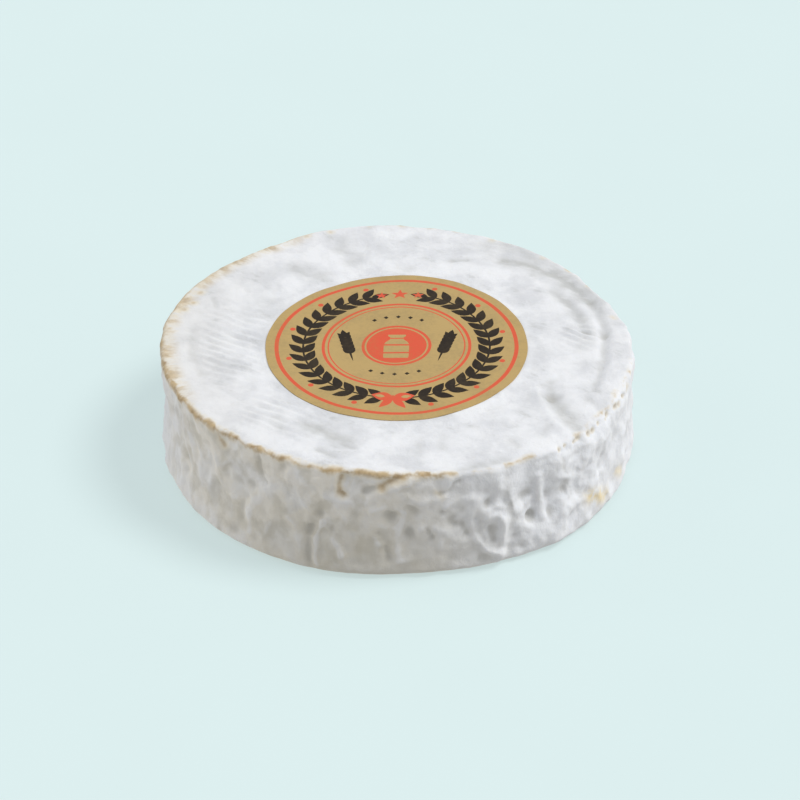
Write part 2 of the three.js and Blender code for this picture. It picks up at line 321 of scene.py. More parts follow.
# Colours, as linear light.
BLOOM_WHITE = (0.8, 0.812, 0.832, 1)
BLOOM_SHADE = (0.61, 0.623, 0.648, 1)
# A darker, warmer white: painted shade near the rim at the left.
BLOOM_WARM_SHADE = (0.67, 0.66, 0.635, 1)
# Grey of thin mould, and also painted shade in some marks of the top.
BLOOM_THIN_AND_SHADE = (0.53, 0.54, 0.535, 1)
WALL_PALE = (0.79, 0.81, 0.84, 1)
WALL_CREAM = (0.80, 0.77, 0.70, 1)
# Grey-brown for specks of the front left, and for the painted shade low at the front.
WALL_SPECK_AND_SHADE = (0.5, 0.475, 0.4, 1)
# Painted shade for the skin's hollows.
PAINTED_HOLLOW_SHADE = (0.42, 0.41, 0.37, 1)
MOTTLE_GREY = (0.62, 0.64, 0.68, 1)
STAIN_YELLOW = (0.8, 0.68, 0.43, 1)
PIT_BROWN = (0.42, 0.36, 0.29, 1)
CRUST_HALO = (0.74, 0.675, 0.54, 1)
CRUST_TAN = (0.55, 0.425, 0.255, 1)
CRUST_BROWN = (0.4, 0.29, 0.165, 1)
GOLD_PAPER = (0.495, 0.346, 0.138, 1)
GOLD_WORN = (0.425, 0.303, 0.128, 1)
RED_INK = (0.7, 0.1, 0.047, 1)
RED_THIN = (0.62, 0.135, 0.052, 1)
BLACK_INK = (0.018, 0.011, 0.005, 1)
BLACK_THIN = (0.04, 0.027, 0.012, 1)
FLOOR_CYAN = (0.71, 0.847, 0.847, 1)

# Parts of the rind whose colour differs: a darker, warmer white near the rim at the left, which is painted
# shade with a warm tone, cream at the front left, and painted shade, grey low at the front.
WARM_SHADED_SIDE = {"angle": 180, "reach": 75, "inner": 40, "outer": 62, "share": 0.45}
CREAM_SIDE = {"angle": 235, "reach": 75}
SHADED_FRONT = {"angle": 259, "reach": 54}

# The length of skin up the wall and in over the top is called the climb. On the wall it is the height, and
# RIM_CLIMB is its value at the corner of the rim.
RIM_HALF = RIM_ROUND * math.pi / 4
RIM_CLIMB = WHEEL_HEIGHT - RIM_ROUND + RIM_HALF

# Fineness of the rind's mesh: points round the wheel, the step between its rows, and the radii of the few
# rows of the foot and under the label. The paper's points are a step of their own apart.
SEGMENTS = 740
ROW_STEP = 0.6
FOOT_ROWS = [14, 30, 44, 55, 61]
INNER_ROWS = [30, 26, 21, 15, 8]
PAPER_STEP = 1.5

# A place stands proud, or lies low, against the mean of this many points of the mesh to each side.
# Low places get painted shade in the rind's colour, and proud ones a painted highlight.
BLUR_STEPS = 6

# The skin near the label: how far outside it small relief starts and is whole, how far its bed for the paper
# reaches, and the share of the paper's rest that the bed fills.
LABEL_MARGIN = {"start": 0.3, "whole": 3, "bed": 2.5, "fill": 0.9}

# How the paper ripples, and how far its edge departs from a circle.
PAPER_RIPPLES = [Relief(9, 0.07, 41), Relief(4, 0.04, 42)]
PAPER_UNEVEN = 0.003


# Shared shape of the wheel


def turn_from(centre, angle):
    """How many degrees an angle lies past the centre angle, from -180 to 180."""
    return (angle - centre + 540) % 360 - 180


def patch(angle, part):
    """1 at the part's angle, easing to 0 at its reach in degrees to either side."""
    gap = np.abs(turn_from(part["angle"], angle))
    return np.cos(np.minimum(gap / part["reach"], 1) * math.pi / 2) ** 2


def span(angle, start, end, ease):
    """1 between two angles, easing to 0 over the next few degrees at either end."""
    middle, half = (start + end) / 2, (end - start) / 2
    gap = np.abs(turn_from(middle, angle))
    return 1 - smoothstep(gap, half, half + ease)


def smoothstep(value, low, high):
    share = np.clip((value - low) / (high - low), 0, 1)
    return share * share * (3 - 2 * share)


def lerp(low, high, share):
    return low + (high - low) * share


def bell(off):
    """1 where off is 0, dying out past 1 to either side."""
    return np.exp(-off * off)


def scramble(i, j, k):
    """A whole number of 32 bits that belongs to one corner of the noise lattice."""
    i, j, k = (part.astype(np.uint32) for part in (i, j, k))
    bits = (i * np.uint32(73856093)) ^ (j * np.uint32(19349663)) ^ (k * np.uint32(83492791))
    bits = (bits ^ (bits >> np.uint32(15))) * np.uint32(0x2C1B3C6D)
    bits = (bits ^ (bits >> np.uint32(12))) * np.uint32(0x297A2D39)
    return bits ^ (bits >> np.uint32(15))


def noise(x, y, z, size, layer):
    """Gradient noise, from about -1 to 1, with swells about size wide and a pattern for each layer."""
    place = np.broadcast_arrays(x / size + 17 * layer, y / size + 31 * layer, z / size + 47 * layer)
    cell = [np.floor(value).astype(np.int64) for value in place]
    within = [value - whole for value, whole in zip(place, cell)]
    eased = [t * t * t * (t * (t * 6 - 15) + 10) for t in within]
    total = np.zeros(place[0].shape)
    for corner in range(8):
        at = (corner & 1, (corner >> 1) & 1, corner >> 2)
        bits = scramble(cell[0] + at[0], cell[1] + at[1], cell[2] + at[2])
        share = np.ones(place[0].shape)
        slope = np.zeros(place[0].shape)
        for axis in range(3):
            share *= eased[axis] if at[axis] else 1 - eased[axis]
            lean = ((bits >> np.uint32(10 * axis)) & np.uint32(1023)) / 511.5 - 1
            slope += lean * (within[axis] - at[axis])
        total += share * slope
    return 1.4 * total


def swells(kind, x, y, z):
    """Soft swells of one kind of relief."""
    return kind.depth * noise(x, y, z, kind.size, kind.layer)


def ridges(kind, x, y, z):
    """Winding ridges of one kind of relief, where its noise crosses 0, less their mean."""
    return kind.depth * (bell(noise(x, y, z, kind.size, kind.layer) / kind.width) - kind.mean)


def outline_radius(angle):
    """The radius of the plan at an angle, half way up the wall."""
    radius = WHEEL_RADIUS
    for count, depth, crest in OUTLINE_WAVES:
        radius = radius + depth * np.cos(count * np.radians(angle - crest))
    return radius


def large_dents():
    """The dents of the front and those of the back, which follow a rule."""
    dents = list(FRONT_DENTS)
    for i in range(BACK_DENTS["count"]):
        angle = BACK_DENTS["from"] + i * BACK_DENTS["step"]
        height = lerp(BACK_HEIGHTS["low"], BACK_HEIGHTS["high"], (i * BACK_DENTS["turn"]) % 1)
        dents.append((angle, height, BACK_DENTS["radius"], 1, BACK_DENTS["depth"]))
    return dents


def calmed(z, foot, rim):
    """The share of relief that is left near the foot and the rim, and 1 between them."""
    off_foot = smoothstep(z, 0, foot["height"])
    off_rim = smoothstep(WHEEL_HEIGHT - z, 0, rim["height"])
    return lerp(foot["share"], 1, off_foot) * lerp(rim["share"], 1, off_rim)


def wall_relief(x, y, z, angle):
    """The large relief of the wall, outwards."""
    lumps = swells(LUMP, x, y, UPRIGHT * z) + ridges(WRINKLE, x, y, UPRIGHT * z)
    rough = WALL_CALM + WALL_ROUGH["extra"] * patch(angle, WALL_ROUGH)
    waist = WAIST["depth"] + WAIST["extra"] * patch(angle, WAIST)
    return calmed(z, FOOT_CALM, RIM_CALM) * rough * lumps - waist * np.sin(math.pi * z / WHEEL_HEIGHT)


def top_swell(x, y):
    """Height of the top's fall and broad swells over its level, which the label follows too."""
    towards = math.radians(TOP_FALL["angle"])
    along = x * math.cos(towards) + y * math.sin(towards)
    return swells(TOP_SWELL, x, y, WHEEL_HEIGHT) - TOP_FALL["depth"] * along / WHEEL_RADIUS


def off_label(x, y):
    """How far a place is outside the label's edge."""
    return np.hypot(x - LABEL_CENTRE[0], y - LABEL_CENTRE[1]) - LABEL_RADIUS


def top_ripple(x, y, angle):
    """The finer large relief of the top, which starts outside the label."""
    height = swells(TOP_RIPPLE, x, y, WHEEL_HEIGHT)
    for furrow in FURROWS:
        off = (np.hypot(x, y) - furrow["radius"]) / furrow["width"]
        height -= furrow["depth"] * patch(angle, furrow) * bell(off)
    return smoothstep(off_label(x, y), RIPPLE_MARGIN["start"], RIPPLE_MARGIN["whole"]) * height


def shape_skin(plain_radius, plain_z, angle):
    """The large shape of the skin, as the solid has it, from points of a plain round wheel."""
    turn = np.radians(angle)
    edge_share = (plain_radius / WHEEL_RADIUS) ** 8
    up_share = smoothstep(plain_z, 0, WHEEL_HEIGHT)
    lean = WALL_LEAN
    for place in LEANS:
        lean = lean + place["depth"] * patch(angle, place)
    radius = outline_radius(angle) + lean * (1 - 2 * plain_z / WHEEL_HEIGHT)
    along = plain_radius * radius / WHEEL_RADIUS
    x, y, z = along * np.cos(turn), along * np.sin(turn), plain_z
    away = np.hypot(along - radius, z - WHEEL_HEIGHT) / SHOULDER["radius"]
    slump = SHOULDER["depth"] * patch(angle, SHOULDER) * bell(away)
    out = edge_share * wall_relief(x, y, z, angle) - slump
    rise = top_swell(x, y) + top_ripple(x, y, angle) - slump
    moved_x, moved_y = x + out * np.cos(turn), y + out * np.sin(turn)
    for dent_angle, height, dent_radius, tall, depth in large_dents():
        way = np.radians(dent_angle)
        centre = outline_radius(dent_angle) * np.array([math.cos(way), math.sin(way)])
        squared = (x - centre[0]) ** 2 + (y - centre[1]) ** 2 + ((z - height) / tall) ** 2
        push = depth * np.exp(-squared / dent_radius**2)
        sink = DENT_SINK["share"] * smoothstep(height, DENT_SINK["from"], WHEEL_HEIGHT)
        inwards = 1 / math.hypot(1, sink)
        moved_x -= push * inwards * math.cos(way)
        moved_y -= push * inwards * math.sin(way)
        rise = rise - push * inwards * sink
    return np.stack([moved_x, moved_y, z + up_share * rise], axis=-1)


# Fine shape of the rind


def section_rows():
    """The plain wheel's section from the foot up and in over the top: radius, height and length of skin."""
    wall_top = WHEEL_HEIGHT - RIM_ROUND
    rows = [(radius, 0, radius - WHEEL_RADIUS) for radius in FOOT_ROWS]
    foot_steps = math.ceil(FOOT_ROUND * math.pi / 2 / ROW_STEP)
    for i in range(foot_steps):
        turn = math.pi / 2 * i / foot_steps
        height = FOOT_ROUND * (1 - math.cos(turn))
        rows.append((WHEEL_RADIUS - FOOT_ROUND * (1 - math.sin(turn)), height, height))
    wall_steps = math.ceil((wall_top - FOOT_ROUND) / ROW_STEP)
    for i in range(wall_steps):
        height = lerp(FOOT_ROUND, wall_top, i / wall_steps)
        rows.append((WHEEL_RADIUS, height, height))
    rim_steps = math.ceil(2 * RIM_HALF / ROW_STEP)
    for i in range(rim_steps):
        turn = math.pi / 2 * i / rim_steps
        radius = WHEEL_RADIUS - RIM_ROUND * (1 - math.cos(turn))
        rows.append((radius, wall_top + RIM_ROUND * math.sin(turn), wall_top + RIM_ROUND * turn))
    top_edge = WHEEL_RADIUS - RIM_ROUND
    top_steps = round((top_edge - INNER_ROWS[0]) / ROW_STEP)
    for i in range(top_steps):
        way = i * ROW_STEP
        rows.append((top_edge - way, WHEEL_HEIGHT, RIM_CLIMB + RIM_HALF + way))
    rows += [(radius, WHEEL_HEIGHT, RIM_CLIMB + RIM_HALF + top_edge - radius) for radius in INNER_ROWS]
    return np.array(rows, float)


def wall_gap(angle, height, at_angle, at_height):
    """Across and up from a place on the unrolled wall, in millimetres."""
    across = np.radians(turn_from(at_angle, angle)) * WHEEL_RADIUS
    return across, height - at_height


def line_distance(across, up, step):
    """Distance in a plane to the straight line from the origin to step."""
    share = np.clip((across * step[0] + up * step[1]) / (step[0] ** 2 + step[1] ** 2), 0, 1)
    return np.hypot(across - share * step[0], up - share * step[1])


def path_distance(angle, height, path):
    """Distance over the unrolled wall to a path of (angle, height) points."""
    return np.minimum.reduce([
        line_distance(*wall_gap(angle, height, *start), wall_gap(*end, *start))
        for start, end in zip(path, path[1:])
    ])


def ring_distance(angle, height, ring):
    """Distance over the unrolled wall to an upright oval."""
    across, up = wall_gap(angle, height, ring["angle"], ring["height"])
    half = np.radians(ring["across"]) * WHEEL_RADIUS
    scale = np.hypot(across / half, up / ring["tall"])
    return np.abs(scale - 1) * np.hypot(across, up) / np.maximum(scale, 0.2)


def shoulder_pits(angle, climb):
    """How deep each place is in one of the small pits of the shoulder, whose places and sizes vary."""
    nearest = np.full(angle.shape, np.inf)
    for i in range(SHOULDER_PITS["count"]):
        share = i / (SHOULDER_PITS["count"] - 1)
        at, way_in = (lerp(*ends, share) for ends in zip(SHOULDER_PITS["from"], SHOULDER_PITS["to"]))
        at += 0.6 * math.sin(3.7 * i)
        at_climb = RIM_CLIMB + way_in + 0.4 * math.sin(2.4 * i)
        gap = np.hypot(*wall_gap(angle, climb, at, at_climb))
        nearest = np.minimum(nearest, gap / (0.8 + 0.25 * math.sin(5.1 * i)))
    return bell(nearest / SHOULDER_PITS["radius"])


def normals_of(grid):
    """Outward unit normals of a grid of rows that go up and in, and of points that go round."""
    round_step = np.roll(grid, -1, axis=1) - np.roll(grid, 1, axis=1)
    row_step = np.gradient(grid, axis=0)
    normal = np.cross(round_step, row_step)
    return normal / np.maximum(np.linalg.norm(normal, axis=-1, keepdims=True), 1e-9)


def folds_and_knobs(x, y, z, angle):
    """The small relief that noise gives the wall, outwards."""
    low_z = FINE_UPRIGHT * z
    warp = swells(WARP, x, y, z)
    folds = swells(FOLDS, x + warp, y, low_z - warp) + ridges(FOLD_RIDGES, x + warp, y - warp, low_z)
    knobs = ridges(KNOB_RIDGES, x + warp, y - warp, low_z) + ridges(SMALL_RIDGES, x - warp, y, low_z + warp)
    knobs += swells(KNOBS, x, y, low_z + warp)
    knobs += patch(angle, HONEYCOMB) * ridges(HONEYCOMB_RIDGES, x + warp, y, low_z)
    strength = KNOB_SHARE
    for part in KNOB_PATCHES:
        strength = strength + part["extra"] * patch(angle, part)
    trough = TROUGH["share"] * patch(angle, TROUGH)
    calm = 1 - trough * smoothstep(z, TROUGH["from"], TROUGH["to"])
    return calm * (folds + strength * knobs) + swells(WALL_GRAIN, x, y, low_z)


def placed_relief(angle, climb):
    """The creases, ridges and pits that have a place of their own on the wall, outwards."""
    marks = [(path_distance(angle, climb, path) / width, depth) for path, width, depth in CREASES]
    marks.append((ring_distance(angle, climb, RING_RIDGE) / RING_RIDGE["width"], RING_RIDGE["depth"]))
    for pit_angle, pit_height, radius, depth in SMALL_PITS:
        marks.append((np.hypot(*wall_gap(angle, climb, pit_angle, pit_height)) / radius, depth))
    return -sum(depth * bell(off) for off, depth in marks)


def fine_wall(x, y, z, angle, climb):
    """Small relief of the wall, outwards."""
    relief = folds_and_knobs(x, y, z, angle) + placed_relief(angle, climb)
    return relief * calmed(z, FINE_FOOT, FINE_RIM)


def mat_marks(x, y, angle):
    """Straight grooves that the mat left in parts of the top."""
    heading = math.radians(MAT_MARKS["heading"])
    across = y * math.cos(heading) - x * math.sin(heading) + swells(MAT_BEND, x, y, WHEEL_HEIGHT)
    share = np.zeros(x.shape)
    for part in MAT_PATCHES:
        inside = smoothstep(np.hypot(x, y), part["inner"], part["inner"] + MAT_MARKS["inner_ease"])
        inside *= 1 - smoothstep(np.hypot(x, y), part["outer"] - MAT_MARKS["outer_ease"], part["outer"])
        share = np.maximum(share, inside * patch(angle, part))
    uneven = MAT_MARKS["share"] + swells(MAT_WEAR, x, y, WHEEL_HEIGHT)
    return MAT_MARKS["depth"] * share * uneven * np.cos(2 * math.pi * across / MAT_MARKS["spacing"])


def top_marks(x, y):
    """The placed marks of the top: their height, and how dull the mould is at each place, partly painted
    shade.
    """
    height, dull_and_shade = np.zeros(x.shape), np.zeros(x.shape)
    wobble = swells(MARK_WOBBLE, x, y, WHEEL_HEIGHT)
    for path, width, depth, mark_dull_and_shade in TOP_MARKS:
        gaps = [
            line_distance(x - start[0], y - start[1], np.subtract(end, start))
            for start, end in zip(path, path[1:])
        ]
        share = bell(np.minimum.reduce(gaps) / width + wobble)
        height -= depth * share
        dull_and_shade = np.maximum(dull_and_shade, mark_dull_and_shade * share)
    return height, dull_and_shade


def fine_top(x, y, angle):
    """Small soft relief of the top, upwards, without its placed marks."""
    relief = swells(TOP_SOFT, x, y, WHEEL_HEIGHT) + swells(TOP_GRAIN, x, y, WHEEL_HEIGHT)
    shown = smoothstep(swells(LINE_PLACES, x, y, WHEEL_HEIGHT), 0, 0.4)
    return relief + shown * ridges(TOP_LINES, x, y, WHEEL_HEIGHT) + mat_marks(x, y, angle)


def crust_strength(angle):
    """How much ochre crust shows along the rim at each angle."""
    return np.maximum.reduce([
        share * span(angle, start, end, ease) for start, end, ease, share in CRUST_SPANS
    ])


def ochre_distance(angle, climb):
    """How far each place is outside the ochre strokes of the wall and the notches by the rim."""
    gaps = [path_distance(angle, climb, path) - half for path, half in CRUST_STROKES]
    for at, way_in, half in RIM_NOTCHES:
        gaps.append(np.hypot(*wall_gap(angle, climb, at, RIM_CLIMB + way_in)) - half)
    return np.minimum.reduce(gaps)


def stain_strength(angle, climb):
    """How strongly a soft ochre stain shows, from 0 to 1."""
    return np.maximum.reduce([
        share * bell(path_distance(angle, climb, path) / size) for path, size, share in STAINS
    ])


def blurred(values, size):
    """The mean of a grid's values over a few neighbours each way."""
    total = np.zeros(values.shape)
    for step in range(-size, size + 1):
        total += np.roll(values, step, axis=1)
    total /= 2 * size + 1
    padded = np.pad(total, ((size, size), (0, 0)), mode="edge")
    rows = [padded[step : step + values.shape[0]] for step in range(2 * size + 1)]
    return sum(rows) / (2 * size + 1)


def rind_skin():
    """The rind's points as a grid of rows, and what its material needs to know at each of them."""
    rows = section_rows()
    angle, _ = np.meshgrid(np.arange(SEGMENTS) * 360 / SEGMENTS, rows[:, 0])
    radius, height, climb = (np.repeat(rows[:, [i]], SEGMENTS, axis=1) for i in range(3))
    base = shape_skin(radius, height, angle)
    normal = normals_of(base)
    x, y, z = base[..., 0], base[..., 1], base[..., 2]
    wall_share = np.clip(np.hypot(normal[..., 0], normal[..., 1]), 0, 1) ** 2
    top_share = np.clip(normal[..., 2], 0, 1) ** 2
    open_top = top_share * smoothstep(off_label(x, y), LABEL_MARGIN["start"], LABEL_MARGIN["whole"])
    marks, dull_and_shade = top_marks(x, y)
    crust = crust_strength(angle)
    lumpy_crust = CRUST_PROUD["rise"] + swells(CRUST_RELIEF, x, y, z)
    pits = shoulder_pits(angle, climb)
    fine = wall_share * fine_wall(x, y, z, angle, climb) + open_top * (fine_top(x, y, angle) + marks)
    fine += crust * bell((climb - RIM_CLIMB) / CRUST_PROUD["width"]) * lumpy_crust
    fine = np.where(height > 0, fine - SHOULDER_PITS["depth"] * pits, 0)
    points = base + normal * fine[..., None]
    bed = 1 - smoothstep(off_label(x, y), 0, LABEL_MARGIN["bed"])
    lift = LABEL_MARGIN["fill"] * PAPER_REST * bed * top_share
    points[..., 2] += np.where(height > FOOT_ROUND, lift, 0)
    near_rim = smoothstep(np.hypot(x, y), WARM_SHADED_SIDE["inner"], WARM_SHADED_SIDE["outer"])
    details = {
        "way_in": climb - RIM_CLIMB,
        "climb": climb,
        "crust": crust,
        "fingers": span(angle, *FINGER_SPAN),
        "ochre_gap": ochre_distance(angle, climb),
        "stain": stain_strength(angle, climb),
        "pits": pits,
        # How far each place stands above the skin around it, for painted shade and painted highlight.
        "relief_for_painted_shade": fine - blurred(fine, BLUR_STEPS),
        "dull_and_shade": open_top * dull_and_shade,
        "warm_shade": WARM_SHADED_SIDE["share"] * patch(angle, WARM_SHADED_SIDE) * near_rim,
        "front_left": patch(angle, CREAM_SIDE),
        "shaded_front": patch(angle, SHADED_FRONT),
    }
    turn = np.radians(angle)
    band = np.stack([WHEEL_RADIUS * np.cos(turn), WHEEL_RADIUS * np.sin(turn), climb], axis=-1)
    return points, details, band


def closed_skin_faces(row_count):
    """Faces of a skin whose rows are joined in quads and closed by a fan at the foot and one on the top."""
    faces = []
    foot, crown = row_count * SEGMENTS, row_count * SEGMENTS + 1
    last = (row_count - 1) * SEGMENTS
    for i in range(SEGMENTS):
        after = (i + 1) % SEGMENTS
        faces.append((foot, after, i))
        for row in range(0, last, SEGMENTS):
            faces.append((row + i, row + after, row + SEGMENTS + after, row + SEGMENTS + i))
        faces.append((crown, last + i, last + after))
    return faces


def new_piece(name, points, faces, node):
    """A smooth mesh object from points in millimetres, which rides on the wheel and stands for a solid."""
    mesh = bpy.data.meshes.new(name)
    mesh.from_pydata((points * MM).tolist(), [], faces)
    mesh.shade_smooth()
    piece = bpy.data.objects.new(name, mesh)
    bpy.context.collection.objects.link(piece)
    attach(piece, "root")
    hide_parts(node)
    return piece


def store(mesh, name, kind, field, values):
    """Keeps what the material needs to know at each point, with the foot's and the crown's centre last."""
    flat = np.concatenate([values.reshape(-1, *values.shape[2:]), values[0, :1], values[-1, :1]])
    mesh.attributes.new(name, kind, "POINT").data.foreach_set(field, flat.ravel().astype(np.float32))


def make_rind():
    grid, details, band = rind_skin()
    centres = np.array([[0, 0, 0], [0, 0, grid[-1, :, 2].mean()]])
    points = np.concatenate([grid.reshape(-1, 3), centres])
    rind = new_piece("rind", points, closed_skin_faces(len(grid)), "cheese")
    for name, values in details.items():
        store(rind.data, name, "FLOAT", "value", values)
    store(rind.data, "band", "FLOAT_VECTOR", "vector", band)
    rind.data.materials.append(rind_material())


# Print of the label, in millimetres on the paper, with its middle at the origin and its top at +Y

# Radii of the rings' edges from the outermost in, red and gold in turn, and of the rows of stars and dots.
OUTER_RING = (35.6, 34.4)
INNER_RINGS = (21.8, 20.9, 20.1, 19.7)
ROUND_FIELD = (10.2, 9.3, 8.8)
GARLAND_RADIUS = 27.2
DOT_ROW = {"radius": 14.8, "size": 0.75, "turns": (242, 256, 270, 284, 298, 62, 76, 90, 104, 118)}

# The garland's pairs of leaves: how many, the angle of the first and from each to the next, how far a leaf
# leans from the branch, and its length and width. Its berries stand out from the branch.
LEAF_PAIRS = 17
LEAF_START = -84
LEAF_GAP = 9.4
LEAF_LEAN = 38
LEAF_SIZE = (6.3, 2.9)
BERRY = {"radius": 0.85, "out": 4.6}


def circle(radius, x=0.0, y=0.0, sides=None):
    sides = sides or max(12, round(radius * 5))
    turns = np.arange(sides) * 2 * math.pi / sides
    return np.stack([x + radius * np.cos(turns), y + radius * np.sin(turns)], axis=1)


def star(radius, x, y):
    turns = math.pi / 2 + np.arange(10) * math.pi / 5
    reach = np.where(np.arange(10) % 2 == 0, radius, 0.42 * radius)
    return np.stack([x + reach * np.cos(turns), y + reach * np.sin(turns)], axis=1)


def leaf(x, y, heading, length, width):
    """A pointed leaf from its foot at (x, y), with its tip towards heading in degrees."""
    along = np.linspace(0, 1, 8)
    side = width / 2 * np.sin(math.pi * along**0.85)
    below, above = (np.stack([along * length, edge], 1) for edge in (-side, side))
    outline = np.concatenate([below, above[-2:0:-1]])
    turn = math.radians(heading)
    spun = outline @ np.array([[math.cos(turn), math.sin(turn)], [-math.sin(turn), math.cos(turn)]])
    return spun + [x, y]


def arc_band(radius, width, start, end):
    """A thin curved bar along part of a circle."""
    turns = np.radians(np.arange(start, end + 1, 4.0))
    ring = np.stack([np.cos(turns), np.sin(turns)], 1)
    return np.concatenate([(radius + width / 2) * ring, (radius - width / 2) * ring[::-1]])


def polar(radius, turn):
    return radius * math.cos(math.radians(turn)), radius * math.sin(math.radians(turn))


def both_sides(layers):
    """Layers of the print's right half, and the same mirrored on its left."""
    return layers + [(ink, (outline * [-1, 1])[::-1]) for ink, outline in layers]


def garland():
    """Two branches of leaves with berries that rise from the foot of the label towards its top."""
    layers = [("black", arc_band(GARLAND_RADIUS, 0.6, -83, 72))]
    for i in range(LEAF_PAIRS):
        turn = LEAF_START + i * LEAF_GAP
        for lean in (-LEAF_LEAN, LEAF_LEAN):
            layers.append(("black", leaf(*polar(GARLAND_RADIUS, turn), turn + 90 + lean, *LEAF_SIZE)))
        if i % 3 == 1:
            place = polar(GARLAND_RADIUS + BERRY["out"], turn + LEAF_GAP / 2)
            layers.append(("red", circle(BERRY["radius"], *place)))
    layers.append(("black", leaf(*polar(GARLAND_RADIUS, 72), 165, 5.5, 2.6)))
    return both_sides(layers)


def bow():
    """A bow that ties the branches at the foot of the label."""
    y = -GARLAND_RADIUS
    half = [
        ("red", leaf(0, y, 14, 6.4, 4.2)),
        ("red", leaf(0, y, -52, 6.2, 2.4)),
        ("gold", leaf(2.3, y + 0.55, 14, 3.0, 1.5)),
    ]
    return both_sides(half) + [("red", circle(1.3, 0, y))]


def wheat_ear():
    """An ear of wheat to the right of the middle, which leans outwards."""
    foot, tip = np.array([12.2, -8.0]), np.array([15.4, 5.0])
    heading = math.degrees(math.atan2(*(tip - foot)[::-1]))
    layers = [("black", leaf(*foot, heading, 14.5, 0.75)), ("black", leaf(*tip, heading, 3.4, 1.7))]
    for i in range(6):
        for lean in (34, -34):
            layers.append(("black", leaf(*lerp(foot, tip, 0.32 + 0.125 * i), heading + lean, 3.3, 1.6)))
    return both_sides(layers)


def churn():
    """A milk churn: half its outline from the foot up, and the same mirrored."""
    side = [[3.5, -6.2], [3.7, -5.4], [3.7, 0.6], [3.2, 1.9]]
    neck = [[2.0, 3.2], [1.9, 4.2], [2.6, 4.9], [2.6, 5.6]]
    half = np.array(side + neck)
    body = np.concatenate([half, half[::-1] * [-1, 1]])
    hoop = np.array([[-3.7, -3.9], [3.7, -3.9], [3.7, -3.2], [-3.7, -3.2]])
    lid = np.array([[-1.9, 3.5], [1.9, 3.5], [1.9, 4.0], [-1.9, 4.0]])
    return [("gold", body), ("red", hoop), ("red", hoop + [0, 4.0]), ("red", lid)]


def rings(radii):
    """Discs on one another, red and gold in turn, which leave rings."""
    return [(ink, circle(radius)) for ink, radius in zip(("red", "gold") * 2, radii)]


def print_layers():
    """The label's print as (ink, outline), from the paper up."""
    layers = [("gold", circle(LABEL_RADIUS, sides=240))]
    layers += rings(OUTER_RING) + garland() + rings(INNER_RINGS) + bow()
    for size, turn in ((2.7, 90), (1.9, 101.5), (1.9, 78.5)):
        layers.append(("red", star(size, *polar(GARLAND_RADIUS, turn))))
    layers += rings(ROUND_FIELD) + churn() + wheat_ear()
    for turn in DOT_ROW["turns"]:
        layers.append(("black", circle(DOT_ROW["size"], *polar(DOT_ROW["radius"], turn), sides=4)))
    return layers


def paper_grid():
    """Points inside the paper, close enough that it follows the skin under it."""
    columns = np.arange(-LABEL_RADIUS, LABEL_RADIUS, PAPER_STEP)
    x, y = np.meshgrid(columns, columns)
    x = x + (np.arange(len(columns))[:, None] % 2) * PAPER_STEP / 2
    inside = np.hypot(x, y) < LABEL_RADIUS - PAPER_STEP / 2
    return np.stack([x[inside], y[inside]], axis=1)


def on_skin(flat, rise):
    """Points of the paper laid on the top of the wheel, rise over the skin."""
    turn = math.radians(LABEL_TURN)
    spin = np.array([[math.cos(turn), math.sin(turn)], [-math.sin(turn), math.cos(turn)]])
    edge = np.hypot(flat[:, 0], flat[:, 1]) / LABEL_RADIUS
    around = np.arctan2(flat[:, 1], flat[:, 0])
    uneven = 1 - PAPER_UNEVEN * edge**6 * (1 + np.sin(5 * around + 1) * np.sin(11 * around))
    x, y = (flat * uneven[:, None] @ spin + LABEL_CENTRE).T
    ripple = sum(swells(kind, x, y, WHEEL_HEIGHT) for kind in PAPER_RIPPLES)
    return np.stack([x, y, WHEEL_HEIGHT + top_swell(x, y) + rise + ripple], axis=1)


def make_label():
    """The paper as one closed sheet, with its print cut into the faces of its upper side."""
    layers = print_layers()
    points = [Vector(point) for point in paper_grid()]
    outlines = []
    for _, outline in layers:
        outlines.append(list(range(len(points), len(points) + len(outline))))
        points += [Vector(point) for point in outline]
    flat, _, triangles, _, _, sources = delaunay_2d_cdt(points, [], outlines, 1, 1e-5)
    flat = np.array([tuple(point) for point in flat])
    count = len(flat)
    edges = dict.fromkeys(edge for a, b, c in triangles for edge in ((a, b), (b, c), (c, a)))
    rim = [(a, b) for a, b in edges if (b, a) not in edges]
    faces = [tuple(face) for face in triangles]
    faces += [tuple(count + i for i in reversed(face)) for face in triangles]
    faces += [(b, a, count + a, count + b) for a, b in rim]
    top, under = on_skin(flat, PAPER_REST + PAPER_THICKNESS), on_skin(flat, PAPER_REST)
    label = new_piece("paper_label", np.concatenate([top, under]), faces, "label")
    inks = ["gold", "red", "black"]
    for material in (gold_material(), red_material(), black_material()):
        label.data.materials.append(material)
    shown = [inks.index(layers[max(source)][0]) for source in sources]
    indices = shown + [0] * (len(faces) - len(shown))
    label.data.polygons.foreach_set("material_index", indices)
    sharp = np.zeros(len(label.data.edges), bool)
    rim_points = {a for a, _ in rim}
    for edge in label.data.edges:
        a, b = edge.vertices
        sharp[edge.index] = a % count in rim_points and b % count in rim_points
    label.data.attributes.new("sharp_edge", "BOOLEAN", "EDGE").data.foreach_set("value", sharp)


# Materials

# The rind's surface: dull and a little velvety, and light goes a short way into it.
RIND_SURFACE = {
    "Roughness": 0.95,
    "Specular IOR Level": 0.2,
    "Sheen Weight": 0.15,
    "Sheen Roughness": 0.6,
    "Subsurface Weight": 0.1,
    "Subsurface Radius": (1.0, 0.9, 0.75),
    "Subsurface Scale": 1.2 * MM,
}


